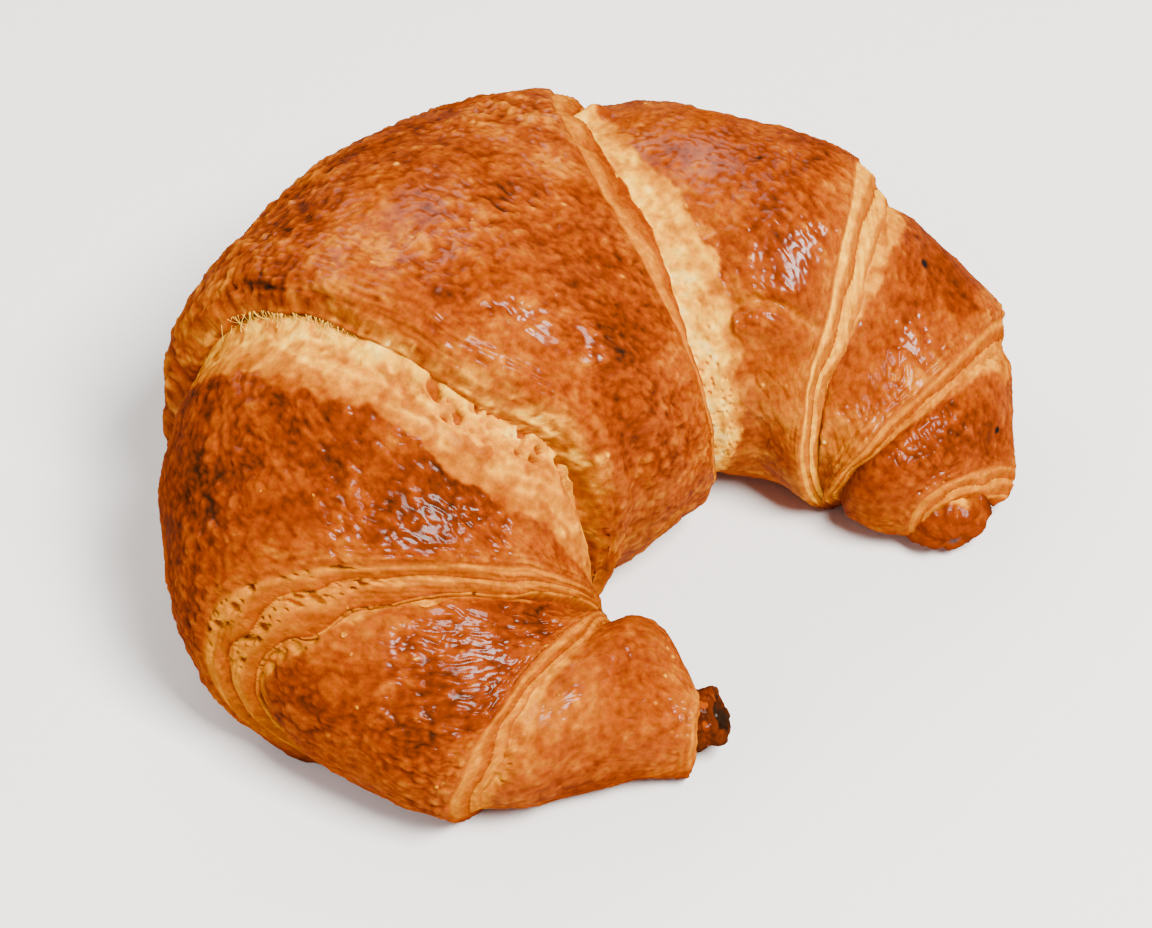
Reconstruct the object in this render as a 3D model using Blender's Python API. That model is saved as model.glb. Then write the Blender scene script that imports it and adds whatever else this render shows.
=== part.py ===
"""A curved croissant of pretzel dough, rolled from one sheet and baked on a tray.

It lies on its flat baked base with its two arms towards -Y. The roll is modelled as it is made: a broad
crown wrap in the middle, and on each arm smaller and smaller rolls that come out from under the lip of the
one before. Each wrap is a closed loft of its own with a layered lip, and one union makes them a single loaf.
"""
import bmesh
import bpy
import numpy as np

MM = 0.001

# Rows across the roll, left end to right end, in millimetres: where the row meets the loaf's outer and
# inner outline seen from above, and how high the roll is there. Each seam starts from a row.
ROWS = {
    "left_4": ((-33.5, -57.5), (-24.0, -51.0), 15.5),
    "left_shoulder": ((-49.5, -48.5), (-20.5, -39.0), 23.0),
    "left_3": ((-66.0, -40.0), (-26.0, -33.5), 27.5),
    "left_2": ((-74.5, 7.0), (-27.5, -28.0), 42.0),
    "left_1": ((-57.5, 30.5), (-23.0, -25.0), 55.0),
    "crown": ((-15.0, 48.0), (-8.0, -25.5), 58.0),
    "right_1": ((35.5, 37.0), (5.0, -26.0), 50.5),
    "right_2": ((59.0, -17.5), (14.5, -30.0), 45.5),
    "right_3": ((62.0, -35.0), (18.0, -35.0), 32.5),
    "right_4": ((50.0, -51.5), (23.5, -52.5), 19.5),
    "right_tip": ((47.5, -56.0), (29.0, -57.5), 12.0),
}

# How each seam leaves its row, in millimetres along the roll: a shift all round, a lean that is positive
# on the outer side and negative on the inner one, and a tilt that is positive over the top.
SEAMS = {
    "left_3": (0.5, 0.0, -1.0),
    "left_2": (-10.5, 7.5, 4.5),
    "left_1": (-3.0, 8.0, 6.5),
    "right_1": (-1.5, 3.5, -7.5),
    "right_2": (4.5, -7.5, -5.5),
    "right_3": (3.5, -2.0, 5.0),
    "right_4": (2.5, 3.0, 3.0),
}

# The wraps. Each comes out from under a wrap at its root seam and ends in a lip at its end seam.
# skin is how far it lies outside the outline at its root, its belly and its lip; band is the width of
# the layered lip, drop its height and layers the number of sheets that show in it. All in millimetres.
WRAPS = {
    "roll_left_1": dict(root="left_1", end="left_2", skin=(-2.0, 2.0, 2.4), band=5.0, drop=4.0, layers=3),
    "roll_left_2": dict(root="left_2", end="left_3", skin=(-3.0, -1.4, 0.0), band=4.0, drop=3.4, layers=3),
    "roll_left_3": dict(root="left_3", end="left_4", skin=(-2.8, -0.4, -0.4), band=0.6, drop=2.0, layers=1),
    "roll_right_1": dict(root="right_1", end="right_2", skin=(-2.0, 0.2, 2.6), band=4.5, drop=4.0, layers=3),
    "roll_right_2": dict(root="right_2", end="right_3", skin=(-2.6, -0.2, 1.2), band=4.5, drop=3.4, layers=3),
    "roll_right_3": dict(root="right_3", end="right_4", skin=(-2.6, 0.2, -1.2), band=2.4, drop=2.6, layers=2),
}
CROWN = dict(
    ends=("left_1", "right_1"), skin=(4.6, 4.4, 2.2), bands=(1.6, 4.0), drops=(4.0, 3.4), layers=(2, 2)
)

# The two ends of the rolled sheet, in millimetres: middle of the hidden end and of the open end, half
# width, half height, and how round the open end is. The left one is a charred stub, the right a knob.
CORES = {
    "tip_left": dict(
        start=(-31.0, -50.5, 7.5), stop=(-22.6, -54.4, 7.2), half_width=4.4, half_height=4.8, dome=0.5
    ),
    "tip_right": dict(
        start=(37.0, -45.0, 8.0), stop=(29.5, -57.5, 5.5), half_width=7.8, half_height=6.6, dome=4.5
    ),
}

AXIS_SHARE = 0.47      # height of the roll's middle, as a share of its full height
SINK_SHARE = 0.10      # how far the round base is pressed flat on the tray, as a share of that height
SQUARENESS = 0.95      # under 1, the section is a little fuller than an ellipse
BURIED = 6.0           # length of a root that is hidden under the wrap before it
AROUND = 36            # points round a section
ALONG = 12             # sections along a wrap between its seams
CROWN_ALONG = 18


def ease(x):
    x = np.clip(x, 0.0, 1.0)
    return x * x * (3.0 - 2.0 * x)


def natural_spline(knots, values):
    """The natural cubic spline through the values, as a function of the place along the knots."""
    gaps = np.diff(knots)
    last = len(knots) - 1
    system = np.eye(last + 1)
    bends = np.zeros_like(values)
    for i in range(1, last):
        system[i, i - 1:i + 2] = gaps[i - 1], 2 * (gaps[i - 1] + gaps[i]), gaps[i]
        bends[i] = 6 * ((values[i + 1] - values[i]) / gaps[i] - (values[i] - values[i - 1]) / gaps[i - 1])
    curve = np.linalg.solve(system, bends)

    def at(place):
        i = np.clip(np.searchsorted(knots, place) - 1, 0, last - 1)
        gap = gaps[i][..., None]
        left, right = (knots[i + 1] - place)[..., None], (place - knots[i])[..., None]
        cubic = (curve[i] * left ** 3 + curve[i + 1] * right ** 3) / (6 * gap)
        return (cubic + (values[i] / gap - curve[i] * gap / 6) * left
                + (values[i + 1] / gap - curve[i + 1] * gap / 6) * right)

    return at


def lay_out_rows():
    """The place of each row along the roll, and the spline of outline points and height through them."""
    table = np.array([[*outer, *inner, height] for outer, inner, height in ROWS.values()])
    outer_steps = np.linalg.norm(np.diff(table[:, 0:2], axis=0), axis=1)
    inner_steps = np.linalg.norm(np.diff(table[:, 2:4], axis=0), axis=1)
    places = np.concatenate([[0.0], np.cumsum((outer_steps + inner_steps) / 2)])
    return dict(zip(ROWS, places)), natural_spline(places, table)


PLACES, OUTLINE = lay_out_rows()
ANGLES = np.linspace(0.0, 2 * np.pi, AROUND, endpoint=False)   # 0 outer side, a quarter turn at the top


def seam_place(name):
    """The place along the roll of a seam, at each angle round the section."""
    shift, lean, tilt = SEAMS.get(name, (0.0, 0.0, 0.0))
    return PLACES[name] + shift + lean * np.cos(ANGLES) + tilt * np.sin(ANGLES)


def section(place, skin):
    """One ring of points. place and skin hold a value for each angle, and skin is the offset outwards."""
    row = OUTLINE(place)
    middle, reach = (row[:, 0:2] + row[:, 2:4]) / 2, (row[:, 0:2] - row[:, 2:4]) / 2
    half_width = np.linalg.norm(reach, axis=1)
    height = row[:, 4]
    wide, tall = np.cos(ANGLES), np.sin(ANGLES)
    wide = np.sign(wide) * np.abs(wide) ** SQUARENESS
    tall = np.sign(tall) * np.abs(tall) ** SQUARENESS
    axis = AXIS_SHARE * height
    half_height = np.where(tall > 0, height - axis, axis + SINK_SHARE * height)
    width_scale = np.maximum(half_width + skin, 0.05 * half_width) / half_width
    flat = middle + reach * (width_scale * wide)[:, None]
    up = axis + np.maximum(half_height + skin, 0.05 * half_height) * tall
    return np.column_stack([flat, up])


def room(place):
    """How far the skin moves for each millimetre of place, at most 1: small where the roll bends tightly."""
    return np.clip(np.linalg.norm(section(place + 1.0, 0.0) - section(place - 1.0, 0.0), axis=1) / 2, 0.2, 1.0)


def lip_steps(band, drop, layers):
    """(advance, drop) of the rings over a layered lip: a tread and a riser for each sheet of dough."""
    steps = []
    for layer in range(layers):
        reach = band * (layer + 1) / layers
        steps.append((reach - 0.5 * band / layers, -drop * (layer + 0.15) / layers))
        steps.append((reach, -drop * (layer + 0.35) / layers))
        steps.append((reach + 0.1, -drop * (layer + 1.0) / layers))
    return steps


def closing(lip_skin, band, drop):
    """Rings that turn the end of a wrap inwards, under its lip, where the next wrap hides them."""
    return [(band - 0.6, lip_skin - drop - 4.5), (band - 3.0, lip_skin - drop - 9.0)]


def arm_rings(root, end, skin, band, drop, layers):
    """The sections of a wrap on an arm, from its hidden root to under its lip."""
    root_skin, belly, lip = skin
    start, stop = seam_place(root), seam_place(end)
    onward = np.sign(np.mean(stop - start))
    rings = [(start - onward * BURIED, root_skin - 4.0 + 0 * ANGLES)]
    for t in np.linspace(0.0, 1.0, ALONG):
        swell = belly * np.sin(np.pi * t) ** 0.8
        offset = root_skin * ease(1 - t / 0.35) + swell + lip * ease((t - 0.6) / 0.4)
        rings.append((start * (1 - t) + stop * t, offset + 0 * ANGLES))
    space = room(stop)
    for advance, fall in lip_steps(band, drop, layers):
        rings.append((stop + onward * advance, lip + fall * space))
    for advance, offset in closing(lip, band, drop):
        rings.append((stop + onward * advance, offset + 0 * ANGLES))
    return [section(place, offset) for place, offset in rings]


def crown_rings(ends, skin, bands, drops, layers):
    """The sections of the crown wrap, which ends in a lip on both sides."""
    left, right = seam_place(ends[0]), seam_place(ends[1])
    left_lip, belly, right_lip = skin
    over_left = [(left - a, left_lip + f * room(left)) for a, f in lip_steps(bands[0], drops[0], layers[0])]
    over_left += [(left - a, offset) for a, offset in closing(left_lip, bands[0], drops[0])]
    body = []
    for t in np.linspace(0.0, 1.0, CROWN_ALONG):
        offset = left_lip * ease(1 - t / 0.3) + belly * 4 * t * (1 - t) + right_lip * ease((t - 0.7) / 0.3)
        body.append((left * (1 - t) + right * t, offset))
    over_right = [(right + a, right_lip + f * room(right)) for a, f in lip_steps(bands[1], drops[1], layers[1])]
    over_right += [(right + a, offset) for a, offset in closing(right_lip, bands[1], drops[1])]
    return [section(place, offset + 0 * ANGLES) for place, offset in over_left[::-1] + body + over_right]


def core_sections(start, stop, half_width, half_height, dome):
    """The rings of one end of the sheet: a short round bar that closes in a dome of the given length."""
    start, stop = np.array(start), np.array(stop)
    length = np.linalg.norm(stop - start)
    along = (stop - start) / length
    across = np.array([-along[1], along[0], 0.0])
    across /= np.linalg.norm(across)
    upward = np.cross(along, across)
    straight = length - dome
    stations = [(straight * s, 1.0) for s in np.linspace(0.0, 1.0, 4)]
    stations += [(straight + dome * np.sin(a), 0.25 + 0.75 * np.cos(a)) for a in np.radians((25, 50, 70, 90))]
    rings = []
    for reach, size in stations:
        wide, tall = half_width * size * np.cos(ANGLES), half_height * size * np.sin(ANGLES)
        rings.append(start + along * reach + wide[:, None] * across + tall[:, None] * upward)
    return rings


def loft(name, rings, material):
    """A closed body through the rings, with a point in the middle of each end."""
    sheet = bmesh.new()
    loops = [[sheet.verts.new(point) for point in ring * MM] for ring in rings]
    for near, far in zip(loops, loops[1:]):
        for i in range(AROUND):
            j = (i + 1) % AROUND
            sheet.faces.new((near[i], near[j], far[j], far[i]))
    for loop in (loops[0], loops[-1]):
        middle = sheet.verts.new(np.mean([v.co for v in loop], axis=0))
        for i in range(AROUND):
            sheet.faces.new((loop[i], loop[(i + 1) % AROUND], middle))
    bmesh.ops.recalc_face_normals(sheet, faces=sheet.faces)
    mesh = bpy.data.meshes.new(name)
    sheet.to_mesh(mesh)
    sheet.free()
    mesh.materials.append(material)
    return bpy.data.objects.new(name, mesh)


def crust_material():
    material = bpy.data.materials.new("pretzel_crust")
    material.use_nodes = True
    shader = material.node_tree.nodes["Principled BSDF"]
    shader.inputs["Base Color"].default_value = (0.52, 0.17, 0.03, 1.0)
    shader.inputs["Roughness"].default_value = 0.35
    return material


def boolean(body, operation, others):
    """Joins or cuts the body with all the others in one step, and removes them."""
    group = bpy.data.collections.new("others")
    bpy.context.scene.collection.children.link(group)
    for other in others:
        group.objects.link(other)
    step = body.modifiers.new(operation.lower(), "BOOLEAN")
    step.operation = operation
    step.operand_type = "COLLECTION"
    step.collection = group
    step.solver = "MANIFOLD"
    bpy.context.view_layer.update()
    graph = bpy.context.evaluated_depsgraph_get()
    mesh = bpy.data.meshes.new_from_object(body.evaluated_get(graph))
    body.modifiers.clear()
    body.data = mesh
    for other in others:
        bpy.data.objects.remove(other)
    bpy.data.collections.remove(group)


def tray_block():
    """A block whose top is the tray, to press the base flat."""
    block = bmesh.new()
    bmesh.ops.create_cube(block, size=1.0)
    bmesh.ops.scale(block, verts=block.verts, vec=(0.4, 0.4, 0.06))
    bmesh.ops.translate(block, verts=block.verts, vec=(0.0, 0.0, -0.03))
    mesh = bpy.data.meshes.new("tray")
    block.to_mesh(mesh)
    block.free()
    return bpy.data.objects.new("tray", mesh)


def fill_pockets(body):
    """Dough has no sealed pockets: of the shells that the union leaves, only the outer one is kept."""
    skin = bmesh.new()
    skin.from_mesh(body.data)
    unseen = set(skin.faces)
    shells = []
    while unseen:
        shell = {unseen.pop()}
        front = list(shell)
        while front:
            reached = {near for face in front for e in face.edges for near in e.link_faces} - shell
            shell |= reached
            front = list(reached)
        unseen -= shell
        shells.append(shell)
    outer = max(shells, key=len)
    inner = [face for shell in shells if shell is not outer for face in shell]
    bmesh.ops.delete(skin, geom=inner, context="FACES")
    skin.to_mesh(body.data)
    skin.free()


def centre_on_base(body):
    """Moves the mesh so that the origin is at the middle of its bounding box, on the tray."""
    count = len(body.data.vertices)
    points = np.empty(count * 3)
    body.data.vertices.foreach_get("co", points)
    points = points.reshape(count, 3)
    low, high = points.min(axis=0), points.max(axis=0)
    points -= [(low[0] + high[0]) / 2, (low[1] + high[1]) / 2, low[2]]
    body.data.vertices.foreach_set("co", points.ravel())
    body.data.update()


def main():
    for old in list(bpy.data.objects):
        bpy.data.objects.remove(old)
    crust = crust_material()
    loaf = loft("croissant", crown_rings(**CROWN), crust)
    bpy.context.scene.collection.objects.link(loaf)
    others = [loft(name, arm_rings(**wrap), crust) for name, wrap in WRAPS.items()]
    others += [loft(name, core_sections(**core), crust) for name, core in CORES.items()]
    boolean(loaf, "UNION", others)
    boolean(loaf, "DIFFERENCE", [tray_block()])
    fill_pockets(loaf)
    centre_on_base(loaf)
    loaf.data.shade_smooth()
    loaf.data.set_sharp_from_angle(angle=np.radians(40))


main()
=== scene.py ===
import itertools
import math

import bpy
import numpy as np
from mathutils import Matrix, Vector


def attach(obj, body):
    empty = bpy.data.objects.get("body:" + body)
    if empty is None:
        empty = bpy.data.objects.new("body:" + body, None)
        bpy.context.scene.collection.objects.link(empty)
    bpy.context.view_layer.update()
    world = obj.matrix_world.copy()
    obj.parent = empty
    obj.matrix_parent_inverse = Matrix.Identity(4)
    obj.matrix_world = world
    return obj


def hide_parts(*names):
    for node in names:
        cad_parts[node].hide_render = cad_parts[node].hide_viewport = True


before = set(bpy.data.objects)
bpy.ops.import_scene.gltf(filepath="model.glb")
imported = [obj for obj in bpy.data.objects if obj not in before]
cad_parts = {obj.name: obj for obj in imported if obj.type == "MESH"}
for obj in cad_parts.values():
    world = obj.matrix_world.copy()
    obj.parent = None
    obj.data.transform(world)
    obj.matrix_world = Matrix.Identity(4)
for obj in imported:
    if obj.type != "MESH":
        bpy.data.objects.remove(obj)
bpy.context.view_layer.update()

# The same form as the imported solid, in millimetres: rows across the roll, from the left arm's end to the
# right arm's. Each gives the outer and the inner outline seen from above, and the height of the roll.
ROWS = {
    "left_4": ((-33.5, -57.5), (-24.0, -51.0), 15.5),
    "left_shoulder": ((-49.5, -48.5), (-20.5, -39.0), 23.0),
    "left_3": ((-66.0, -40.0), (-26.0, -33.5), 27.5),
    "left_2": ((-74.5, 7.0), (-27.5, -28.0), 42.0),
    "left_1": ((-57.5, 30.5), (-23.0, -25.0), 55.0),
    "crown": ((-15.0, 48.0), (-8.0, -25.5), 58.0),
    "right_1": ((35.5, 37.0), (5.0, -26.0), 50.5),
    "right_2": ((59.0, -17.5), (14.5, -30.0), 45.5),
    "right_3": ((62.0, -35.0), (18.0, -35.0), 32.5),
    "right_4": ((50.0, -51.5), (23.5, -52.5), 19.5),
    "right_tip": ((47.5, -56.0), (29.0, -57.5), 12.0),
}

# The seams: how far each is shifted along the rows from the row of its name, and how far it leans there
# on the outer side and at the top, in millimetres
SEAMS = {
    "left_3": (0.5, 0.0, -1.0),
    "left_2": (-10.5, 7.5, 4.5),
    "left_1": (-3.0, 8.0, 6.5),
    "right_1": (-1.5, 3.5, -7.5),
    "right_2": (4.5, -7.5, -5.5),
    "right_3": (3.5, -2.0, 5.0),
    "right_4": (2.5, 3.0, 3.0),
}

# The middle of the solid's box seen from above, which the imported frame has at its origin
CENTRE = np.array([-7.517, -3.272, 0.0])

# A section's widest line and its reach below the table, as shares of its height, and the power of its round
AXIS_SHARE, SINK_SHARE, SQUARENESS = 0.47, 0.10, 0.95

# The least share of its size that a section keeps under a sunk skin
THINNEST = 0.05
MILLIMETRE = 0.001
TINY = 1e-9

# The wraps. Tables go by the angle round the roll, in degrees: 0 is the outer side, 90 the top and 180 the
# inner side. seams are where a wrap starts and ends, skin its offset at root, belly and lip. width is how far
# the layers reach past the lip, drop how far they step down, and pale how far light dough reaches from the
# root, in millimetres. set_back moves a lip back, tuck turns it under, and heap piles crumb on a root. tone,
# dough and layer are the bake of crust, light dough and layers, rough the wrinkles and gloss the glaze.
WRAPS = {
    "crown": dict(
        seams=("left_1", "right_1"), skin=(4.6, 4.4, 2.2), rings=216, around=364, tone=0.55, rough=1.0,
        width_left=((0, 2.0), (60, 2.2), (120, 1.6), (180, 1.2), (270, 1.5)),
        width_right=((0, 4.0), (70, 5.0), (97, 6.2), (112, 5.6), (125, 3.6), (140, 1.6), (180, 1.2),
                     (270, 2.5)),
        set_back=((-40, 0.0), (20, 0.6), (40, 1.4), (55, 2.6), (75, 3.0), (100, 2.6), (120, 2.2), (140, 1.6),
                  (170, 0.6), (200, 0.0), (270, 0.0)),
        tuck=((0, 0.6), (35, 1.2), (55, 2.6), (72, 1.8), (90, 0.6), (180, 0.4), (270, 0.6))),
    "roll_left_1": dict(
        seams=("left_1", "left_2"), skin=(-2.0, 2.0, 2.4), drop=4.0, layers=2, rings=146, around=440,
        tone=0.61, rough=1.05, gloss=0.55, heap=3.4,
        width=((-40, 6.0), (14, 8.9), (25, 10.2), (49, 9.8), (61, 8.0), (81, 5.1), (92, 3.6), (106, 2.8),
               (119, 3.3), (139, 2.0), (180, 1.5), (270, 3.0)),
        pale=((-60, 4.0), (20, 7.0), (45, 9.7), (59, 9.5), (74, 9.6), (91, 9.0), (98, 8.6), (107, 11.0),
              (124, 10.7), (146, 9.0), (169, 5.2), (230, 3.0))),
    "roll_left_2": dict(
        seams=("left_2", "left_3"), skin=(-3.0, -1.4, 0.0), drop=3.4, layers=2, rings=116, around=420,
        tone=0.60, rough=0.9, gloss=0.68,
        width=((-40, 4.0), (20, 5.6), (38, 6.0), (57, 3.8), (76, 3.4), (92, 4.0), (117, 3.6), (150, 1.6),
               (270, 2.5)),
        pale=((-60, 3.0), (14, 9.5), (38, 11.5), (61, 9.5), (81, 6.2), (106, 4.0), (125, 3.6), (150, 2.2),
              (230, 2.0))),
    "roll_left_3": dict(
        seams=("left_3", "left_4"), skin=(-2.8, -0.4, -0.4), drop=2.0, layers=1, rings=100, around=320,
        tone=0.50, rough=0.5,
        width=((0, 0.8), (90, 0.7), (180, 0.6), (270, 0.8)),
        pale=((-60, 3.0), (16, 6.0), (38, 7.6), (60, 6.0), (76, 4.6), (95, 4.4), (117, 4.4), (150, 2.4),
              (230, 2.0))),
    "roll_right_1": dict(
        seams=("right_1", "right_2"), skin=(-2.0, 0.2, 2.6), drop=4.0, layers=2, rings=146, around=430,
        tone=0.53, rough=0.9, dough=0.10, layer=0.14,
        width=((-40, 5.0), (20, 7.5), (59, 8.5), (80, 7.2), (90, 7.2), (106, 8.4), (118, 7.0), (138, 3.0),
               (180, 1.4), (270, 3.0)),
        pale=((-60, 4.0), (30, 6.0), (60, 8.0), (81, 10.5), (96, 13.0), (111, 12.3), (126, 12.0),
              (138, 10.9), (149, 9.3), (175, 6.7), (202, 5.0), (240, 3.0))),
    "roll_right_2": dict(
        seams=("right_2", "right_3"), skin=(-2.6, -0.2, 1.2), drop=3.4, layers=2, rings=100, around=380,
        tone=0.50, rough=0.8, dough=0.12,
        width=((-40, 4.5), (33, 7.6), (48, 6.2), (75, 4.4), (98, 3.6), (118, 2.4), (142, 1.7), (162, 0.8),
               (270, 2.5)),
        pale=((-60, 4.0), (30, 9.0), (57, 9.8), (84, 9.3), (97, 8.8), (111, 6.0), (125, 3.0), (138, 0.8),
              (180, 0.5), (230, 1.5))),
    "roll_right_3": dict(
        seams=("right_3", "right_4"), skin=(-2.6, 0.2, -1.2), drop=2.6, layers=2, rings=92, around=320,
        tone=0.58, rough=0.7,
        set_back=((0, 0.0), (60, 1.6), (100, 2.6), (150, 2.0), (200, 0.0), (270, 0.0)),
        width=((0, 2.0), (60, 3.6), (100, 5.0), (150, 3.4), (200, 2.0), (270, 1.6)),
        pale=((-60, 3.0), (20, 9.0), (33, 9.0), (48, 6.6), (75, 4.2), (98, 3.2), (120, 1.6), (160, 0.5),
              (230, 1.0))),
}

# The bake of light dough and of layers where a wrap names none, and the darkest bake of all
DOUGH_TONE, LAYER_TONE, DARKEST = 0.215, 0.27, 1.2
ARM_TUCK, LIP_RING_STEP, FEWEST_LIP_RINGS = 0.8, 0.26, 5
WRAP_SEED, CROWN_SEED = 60, 40

# The two ends of the rolled sheet: dome is the length of the rounded end and blunt the width that it keeps
CORES = {
    "tip_left": dict(start=(-31.0, -50.5, 7.5), stop=(-22.6, -54.4, 7.2), half_width=4.4, half_height=4.8,
                     dome=0.5, blunt=0.62),
    "tip_right": dict(start=(37.0, -45.0, 7.4), stop=(29.5, -57.0, 5.0), half_width=7.0, half_height=5.3,
                      dome=4.5, blunt=0.2),
}
BURNT_TIP = "tip_left"
TIP_AROUND, TIP_ROUGHNESS, TIP_LOWEST = 150, 0.55, 0.25
TOWARDS_CAMERA = np.array([-0.435, -0.435, 0.788])

# The way across the knob's folds, in radians of their wave for each millimetre
KNOB_FOLDS = np.array([0.55, 0.25, 0.75]) * 1.05

# How far the hidden rings lie behind a wrap's root, and how steeply they sink there
HIDDEN_RINGS = (-6.0, -4.5, -3.2, -2.2, -1.4, -0.7)
ROOT_SLOPE = 0.66

# The rings that turn in under a lip: their way back as a share of the tuck, and how deep each lies
UNDER_LIP = ((0.0, 0.5), (-0.25, 1.1), (-0.6, 1.9), (-1.0, 3.2), (-1.2, 5.0), (-1.8, 9.0))

# Places where the bake is darker or lighter: centre and radius in millimetres, and the change of tone.
PATCHES = {
    "crown": (
        (-4, 14, 60, 10, 0.03), (1, -4, 55, 8, 0.12), (-6, -10, 57, 8, 0.16), (-10, -21, 51, 8, 0.14),
        (-7, -26, 42, 7, 0.10), (-18, 34, 58, 11, 0.14), (-36, 26, 58, 9, 0.10), (-30, 13, 63, 9, -0.20),
        (-26, 23, 62, 6, -0.12), (9, 29, 54, 9, -0.14), (9, 14, 56, 5, -0.22), (-12, -30, 22, 10, -0.16),
        (-26, -22, 50, 7, -0.14), (-27, -12, 60, 6, -0.06), (-42, 33, 50, 10, -0.06)),
    "roll_left_1": (
        (-57, 16, 48, 9, 0.10), (-52, -1, 49, 8, 0.14), (-43, -16, 43, 7, 0.20), (-67, 13, 38, 11, 0.10),
        (-75, 6, 28, 12, 0.14), (-44, -6, 50, 5, -0.12), (-66, -2, 41, 5, -0.10), (-34, -25, 34, 5, -0.08)),
    "roll_left_2": (
        (-55, -33, 28, 8, 0.16), (-62, -35, 24, 8, 0.12), (-45, -29, 30, 6, 0.10), (-72, -18, 22, 8, 0.08),
        (-65, -17, 32, 6, -0.12), (-35, -33, 25, 5, 0.06)),
    "roll_left_3": (
        (-34, -47, 21, 6, 0.12), (-47, -50, 9, 9, 0.18), (-46, -44, 22, 6, -0.06), (-34, -42, 23, 5, 0.08)),
    "roll_right_1": (
        (36, -4, 52, 10, 0.12), (44, -10, 50, 8, 0.12), (27, -14, 52, 8, 0.14), (20, -23, 47, 6, 0.10),
        (28, 14, 49, 7, -0.08), (13, -29, 30, 10, -0.06), (19, -9, 50, 3, -0.20)),
    "roll_right_2": (
        (51, -30, 35, 8, 0.20), (53, -37, 28, 7, 0.14), (39, -34, 33, 6, 0.14), (28, -36, 29, 5, 0.14),
        (33, -41, 29, 4, -0.08), (20, -36, 23, 7, -0.14)),
    "roll_right_3": (
        (33, -49, 23, 6, 0.16), (41, -52, 20, 6, 0.16), (42, -55, 12, 6, 0.12), (47, -49, 19, 5, -0.08)),
}

# Places where the browned skin has flaked off: centre, radius and strength
FLAKED = (
    (-28, 14, 63, 5, 0.8), (9, 15, 56, 3, 0.8), (-30, 30, 60, 3, 0.6), (33, -41, 29, 3.0, 0.8),
    (-44, -6, 50, 2.5, 0.7), (-66, -2, 41, 2.5, 0.7), (19, -9, 50, 2.5, 0.8), (-14, 2, 62, 2.5, 0.6),
    (-52, 20, 52, 3, 0.6), (28, 14, 49, 3, 0.6), (-62, 26, 40, 3, 0.5))

# Lumps that stand up: centre, radius and height
LUMPS = {"roll_right_1": ((28, 23.5, 45.5, 2.3, 2.2), (25, 24.5, 45, 1.5, 1.0))}

# How far the seam between the crown and the first left wrap lies back on the inner side, by angle
SEAM_BACK = ((-40, 0.0), (70, 0.0), (90, 0.3), (105, 0.6), (115, 1.2), (125, 3.2), (135, 6.5), (145, 10.0),
             (155, 12.5), (170, 12.5), (185, 10.5), (205, 5.0), (230, 0.0), (270, 0.0))

# Small dark specks: centre and radius, and pale loose crumbs: centre and size
SPECKS = (
    (49, -30, 35, 0.9), (44, -53, 17, 1.0), (-28, -23, 38, 0.9), (-72, 4, 32, 0.8), (17, 24, 54, 0.7),
    (35, -6, 52, 0.6), (-57, -41, 25, 0.6), (-8, 32, 57, 0.6))
CRUMBS = (
    (-65, -16, 33, 1.0), (-66, -19, 31, 0.7), (-67, -38, 17, 0.7), (-62, -14, 34, 0.6), (-70, -24, 26, 0.6),
    (-57, -2, 46, 0.6), (-46, -42, 24, 0.5), (-62, 4, 46, 0.5), (30, -53, 16, 0.5), (-12, 10, 61, 0.5))

# Noise: tables of random directions, places and tags, and the step between the fields of two seeds
TABLE = 256
CHANCE = np.random.default_rng(11)
SHUFFLE = CHANCE.permutation(TABLE)
SLOPES = CHANCE.normal(size=(TABLE, 3))
SLOPES /= np.linalg.norm(SLOPES, axis=1)[:, None]
SPOTS = CHANCE.random((TABLE, 3))
TAGS = CHANCE.random(TABLE)
SEED_STEP = np.array([17.13, 31.71, 47.93])
BUBBLE_STEP = np.array([13.7, 29.3, 5.1])
NOISE_GAIN = 1.6
OCTAVE = 2.03


def lattice(at):
    """A random index for each whole-numbered corner of the grid."""
    x, y, z = (at[..., i] & (TABLE - 1) for i in range(3))
    return SHUFFLE[(SHUFFLE[(SHUFFLE[x] + y) & (TABLE - 1)] + z) & (TABLE - 1)]


def noise(p, seed=0):
    """Gradient noise, smooth and about -1 to 1, one bump for each unit of p."""
    p = p + seed * SEED_STEP
    cell = np.floor(p).astype(np.int64)
    f = p - cell
    w = f * f * f * (f * (f * 6 - 15) + 10)
    total = 0.0
    for corner in itertools.product((0, 1), repeat=3):
        slope = SLOPES[lattice(cell + np.array(corner))]
        away = f - np.array(corner)
        weight = 1.0
        for i in range(3):
            weight = weight * (w[..., i] if corner[i] else 1 - w[..., i])
        total = total + weight * (slope * away).sum(-1)
    return total * NOISE_GAIN


def layered_noise(p, octaves, seed):
    """Noise with finer and weaker noise on top of it."""
    return sum(0.5 ** octave * noise(p * OCTAVE ** octave, seed + octave) for octave in range(octaves))


def warped(p, size, seed):
    """Three noises as one push in space, which keeps a pattern from looking regular."""
    return np.stack([noise(p / size, seed + i) for i in range(3)], axis=-1)


def bubbles(p, seed=0):
    """Distance to the nearest of scattered points, one in each unit cell, and that point's random tag."""
    p = p + seed * BUBBLE_STEP
    cell = np.floor(p).astype(np.int64)
    f = p - cell
    near = np.full(p.shape[:-1], 9.0)
    tag = np.zeros(p.shape[:-1])
    for offset in itertools.product((-1, 0, 1), repeat=3):
        index = lattice(cell + np.array(offset))
        point = np.array(offset) + SPOTS[index]
        distance = ((point - f) ** 2).sum(-1)
        tag = np.where(distance < near, TAGS[index], tag)
        near = np.minimum(near, distance)
    return np.sqrt(near), tag


def spots_of(p, patches):
    """The sum of soft round patches."""
    total = np.zeros(p.shape[:-1])
    for x, y, z, radius, strength in patches:
        total += strength * np.exp(-((p - np.array([x, y, z])) ** 2).sum(-1) / radius ** 2)
    return total


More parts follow.
